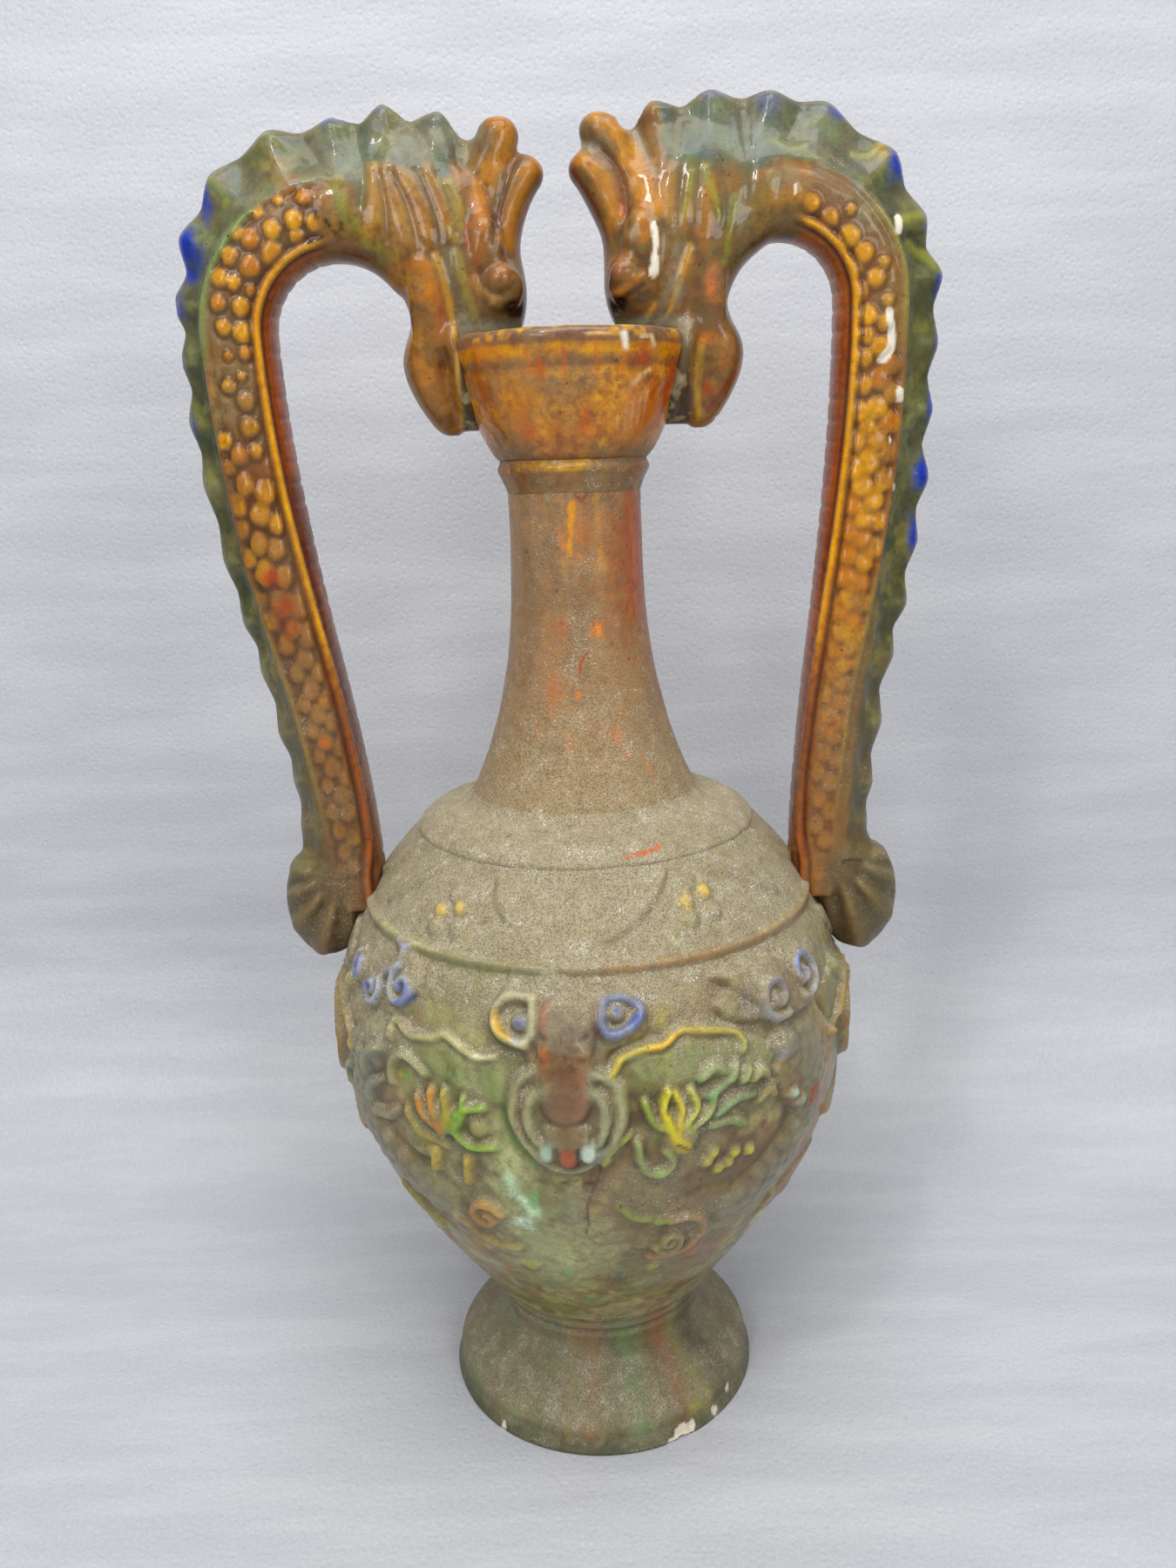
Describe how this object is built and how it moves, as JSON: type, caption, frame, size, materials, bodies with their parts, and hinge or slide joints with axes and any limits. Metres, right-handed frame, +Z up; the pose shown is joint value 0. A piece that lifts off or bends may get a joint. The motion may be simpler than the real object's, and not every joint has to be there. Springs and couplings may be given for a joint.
{
  "type": "double-dragon amphora vase",
  "caption": "Glazed earthenware amphora vase: cup mouth, slender neck, ovoid belly with moulded relief, flared hollow foot and arched dragon handles that bite the rim.",
  "frame": {"origin": "centre of the foot ring on the surface that the vase stands on", "axes": "+Z up along the vase's axis, X along the two dragon handles, -Y towards the moulded mask"},
  "size_m": [0.25, 0.1924, 0.4611],
  "materials": {
    "amber_glaze": "glossy amber lead glaze",
    "dusty_glaze": "brown glaze under a matt film of dust",
    "olive_glaze": "glossy olive glaze with blue tips",
    "ochre_glaze": "glossy ochre yellow glaze",
    "slate_glaze": "blue-grey glaze, dusty",
    "moss_glaze": "yellow-green glaze, dusty",
    "foot_glaze": "green and brown glaze with chips down to pale clay"
  },
  "bodies": {
    "root": {"foot": "foot_glaze", "lower_belly": "dusty_glaze", "upper_belly": "dusty_glaze", "shoulder_collar": "dusty_glaze", "neck": "dusty_glaze", "neck_bead": "amber_glaze", "mouth_cup": "amber_glaze", "left_dragon_body": "ochre_glaze", "left_dragon_crest": "olive_glaze", "left_dragon_tail": "olive_glaze", "left_dragon_head": "amber_glaze", "left_dragon_jaw": "amber_glaze", "left_dragon_horn": "ochre_glaze", "left_dragon_snout": "ochre_glaze", "left_dragon_front_eye": "amber_glaze", "left_dragon_back_eye": "amber_glaze", "right_dragon_body": "ochre_glaze", "right_dragon_crest": "olive_glaze", "right_dragon_tail": "olive_glaze", "right_dragon_head": "amber_glaze", "right_dragon_jaw": "amber_glaze", "right_dragon_horn": "ochre_glaze", "right_dragon_snout": "ochre_glaze", "right_dragon_front_eye": "amber_glaze", "right_dragon_back_eye": "amber_glaze", "front_mask": "moss_glaze", "front_lappet": "dusty_glaze", "front_lappet_border": "olive_glaze", "front_left_wing": "moss_glaze", "front_left_claw": "ochre_glaze", "front_left_cloud": "slate_glaze", "front_left_lower_cloud": "ochre_glaze", "front_left_coil": "slate_glaze", "front_left_floret": "ochre_glaze", "front_right_wing": "moss_glaze", "front_right_claw": "ochre_glaze", "front_right_cloud": "slate_glaze", "front_right_lower_cloud": "ochre_glaze", "front_right_coil": "slate_glaze", "front_right_floret": "ochre_glaze", "back_mask": "moss_glaze", "back_lappet": "dusty_glaze", "back_lappet_border": "olive_glaze", "back_left_wing": "moss_glaze", "back_left_claw": "ochre_glaze", "back_left_cloud": "slate_glaze", "back_left_lower_cloud": "ochre_glaze", "back_left_coil": "slate_glaze", "back_left_floret": "ochre_glaze", "back_right_wing": "moss_glaze", "back_right_claw": "ochre_glaze", "back_right_cloud": "slate_glaze", "back_right_lower_cloud": "ochre_glaze", "back_right_coil": "slate_glaze", "back_right_floret": "ochre_glaze", "left_side_leaf": "amber_glaze", "right_side_leaf": "amber_glaze"}
  },
  "joints": []
}
